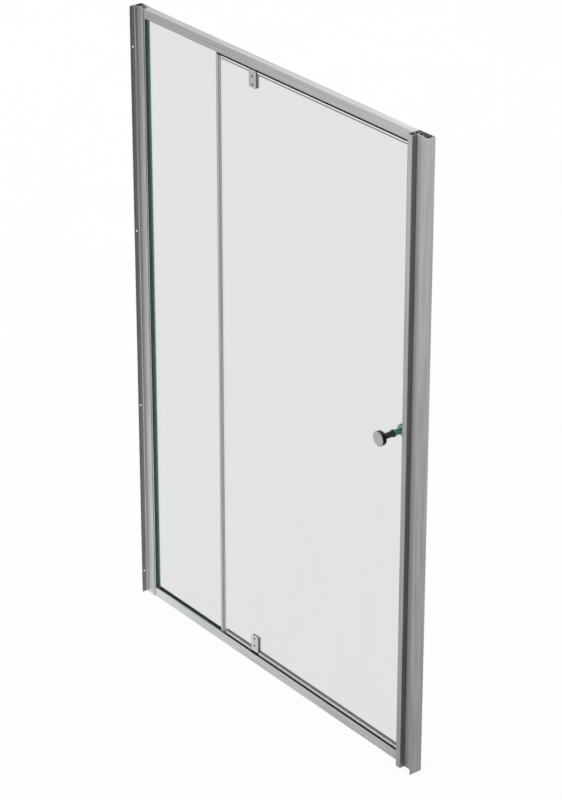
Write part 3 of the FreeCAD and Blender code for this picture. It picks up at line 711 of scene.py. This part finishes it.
CORNER_SCREW = (3.4 * MM, 2.4 * MM, 1.9 * MM)    # radius and height of the head, radius of the shank
SIDE_SCREW = (4.0 * MM, 2.6 * MM, 1.8 * MM)
POINT_RADIUS = 0.2               # shares of the shank's radius
POINT_LENGTH = 2.0
# Shares of the head's radius and height: radius and height over the dome, and reach, half width
# and height of the cross recess.
DOME = ((1.0, 0.0), (1.0, 0.45), (0.93, 0.75), (0.78, 0.93), (0.6, 1.0))
CROSS_TOP = (0.5, 0.13, 1.0)
CROSS_FLOOR = (0.42, 0.10, 0.45)
WELD = 1e-6                      # corners nearer than this are one


def pivot_screws(end):
    """Two flush screws with hexagon sockets, in the cover's counterbores."""
    node = end + "_pivot_screws"
    low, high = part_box(node)
    x, face = (low[0] + high[0]) / 2, low[1]
    head = (high[0] - low[0]) / 2
    length = high[1] - low[1]
    rings = [
        circle(CLAMP_TIP, -length), circle(CLAMP_SHANK, CLAMP_TIP_LENGTH - length),
        circle(CLAMP_SHANK, -CLAMP_HEAD), circle(head, -CLAMP_HEAD),
        circle(head, -CLAMP_SINK - CLAMP_CHAMFER), circle(head - CLAMP_CHAMFER, -CLAMP_SINK),
        hexagon(SOCKET + SOCKET_BEVEL, -CLAMP_SINK), hexagon(SOCKET, -CLAMP_SINK - SOCKET_BEVEL),
        hexagon(SOCKET, -SOCKET_DEPTH),
    ]
    form = bmesh.new()
    for z in (low[2] + head, high[2] - head):
        ring_solid(form, rings, (x, face, z), (0, -1, 0))
    screw = steel("screw_dark", (0.045, 0.045, 0.048), (0.09, 0.09, 0.093))
    place_piece(finish_form(form, node + "_socket", [screw]), node, "door")


def pan_head(form, place, direction, screw, length):
    """Pan head screw with a cross recess; place is the seat of its head."""
    head, tall, shank = screw
    rings = [circle(POINT_RADIUS * shank, -length), circle(shank, POINT_LENGTH * shank - length),
             circle(shank, 0)]
    rings += [circle(radius * head, height * tall) for radius, height in DOME]
    rings += [cross(reach * head, half * head, height * tall)
              for reach, half, height in (CROSS_TOP, CROSS_FLOOR)]
    ring_solid(form, rings, place, direction)


def frame_screws(node, direction, screw, material):
    """The screws of one node: one for each separate solid of its mesh."""
    tall = screw[1]
    axis = Vector(direction)
    form = bmesh.new()
    for low, high in islands(nodes[node].data):
        length = abs((high - low).dot(axis))
        top = (low + high) / 2 + axis * length / 2
        pan_head(form, top - axis * tall, direction, screw, length - tall)
    place_piece(finish_form(form, node + "_cross", [material]), node, "frame")


def islands(mesh):
    """Lowest and highest corners of each separate solid of a mesh."""
    form = bmesh.new()
    form.from_mesh(mesh)
    bmesh.ops.remove_doubles(form, verts=form.verts, dist=WELD)
    left = set(form.verts)
    boxes = []
    while left:
        queue = [left.pop()]
        seen = list(queue)
        while queue:
            vertex = queue.pop()
            fresh = {edge.other_vert(vertex) for edge in vertex.link_edges} & left
            left -= fresh
            queue += fresh
            seen += fresh
        points = [tuple(vertex.co) for vertex in seen]
        boxes.append([Vector(pick(axis) for axis in zip(*points)) for pick in (min, max)])
    form.free()
    return sorted(boxes, key=lambda box: [tuple(corner) for corner in box])


# ---------------------------------------------------------------- studio
FLOOR_HALF = 30.0
FLOOR_DARK = (0.86, 0.86, 0.86)
FLOOR_LIGHT = (0.9, 0.9, 0.9)
FLOOR_WHITE = 0.93               # the rest of what is seen of the floor is its own shade
WORLD_LIGHT = 0.8
LAMP_AIM = (0, 0, 0.9)
LAMPS = (                        # name, place, side of the square, watts
    ("key", (-3.2, -5.0, 5.2), 5.0, 110),
    ("fill", (4.5, -3.0, 2.5), 3.5, 35),
    ("back", (-4.3, 3.3, 4.4), 6.0, 70),
)


def white_where_seen(tree, shader, output, share):
    """The surface shows white to the camera and in metal and glass, and keeps a share of shade."""
    white = tree.nodes.new("ShaderNodeEmission")
    white.inputs["Color"].default_value = (1, 1, 1, 1)
    white.inputs["Strength"].default_value = 1.0
    path = tree.nodes.new("ShaderNodeLightPath")
    seen = path.outputs["Is Camera Ray"]
    for kind in ("Is Glossy Ray", "Is Transmission Ray"):
        either = tree.nodes.new("ShaderNodeMath")
        either.operation = "MAXIMUM"
        tree.links.new(seen, either.inputs[0])
        tree.links.new(path.outputs[kind], either.inputs[1])
        seen = either.outputs["Value"]
    weight = tree.nodes.new("ShaderNodeMath")
    weight.operation = "MULTIPLY"
    weight.inputs[1].default_value = share
    tree.links.new(seen, weight.inputs[0])
    mix = tree.nodes.new("ShaderNodeMixShader")
    tree.links.new(weight.outputs["Value"], mix.inputs["Fac"])
    tree.links.new(shader, mix.inputs[1])
    tree.links.new(white.outputs["Emission"], mix.inputs[2])
    tree.links.new(mix.outputs["Shader"], output)


def make_floor():
    mesh = bpy.data.meshes.new("floor")
    corners = [(x * FLOOR_HALF, y * FLOOR_HALF, 0) for x, y in ((-1, -1), (1, -1), (1, 1), (-1, 1))]
    mesh.from_pydata(corners, [], [(0, 1, 2, 3)])
    floor = bpy.data.objects.new("floor", mesh)
    bpy.context.scene.collection.objects.link(floor)
    look = Look("floor_pale", Specular_IOR_Level=0.0, Roughness=0.9)
    look.feed("Base Color", look.blend(look.noise(even(3.0), detail=3.0), FLOOR_DARK, FLOOR_LIGHT))
    white_where_seen(look.tree, look.shader.outputs["BSDF"], look.output.inputs["Surface"], FLOOR_WHITE)
    mesh.materials.append(look.material)


def make_world():
    world = bpy.data.worlds.new("studio")
    bpy.context.scene.world = world
    world.use_nodes = True
    tree = world.node_tree
    tree.nodes.clear()
    output = tree.nodes.new("ShaderNodeOutputWorld")
    dark_legs = tree.nodes.new("ShaderNodeBackground")
    dark_legs.inputs["Color"].default_value = (1, 1, 1, 1)
    dark_legs.inputs["Strength"].default_value = WORLD_LIGHT
    white_where_seen(tree, dark_legs.outputs["Background"], output.inputs["Surface"], 1.0)


def make_lamps():
    for name, place, side, watts in LAMPS:
        data = bpy.data.lights.new(name, "AREA")
        data.shape = "RECTANGLE"
        data.size = side
        data.size_y = side
        data.energy = watts
        lamp = bpy.data.objects.new(name, data)
        lamp.location = place
        lamp.rotation_euler = (Vector(LAMP_AIM) - Vector(place)).to_track_quat("-Z", "Y").to_euler()
        bpy.context.scene.collection.objects.link(lamp)


# ---------------------------------------------------------------- the whole door
def make_door():
    stainless = steel("stainless", (0.42, 0.42, 0.42), (0.60, 0.60, 0.60))
    dress_frame()
    dress_fittings(stainless)
    glass_panes()
    uprights()
    slots()
    pivot_plates()
    bottom_infills()
    gaskets()
    door_strips()
    knobs()
    for end in ("top", "bottom"):
        pivot_screws(end)
    for side, outwards in (("left", -1), ("right", 1)):
        frame_screws("corner_screws_" + side, (outwards, 0, 0), CORNER_SCREW, stainless)
    for side in ("left", "right"):
        frame_screws("side_screws_" + side, (0, 1, 0), SIDE_SCREW, stainless)


bpy.context.scene.view_settings.view_transform = "Standard"
make_camera()
make_door()
make_floor()
make_world()
make_lamps()
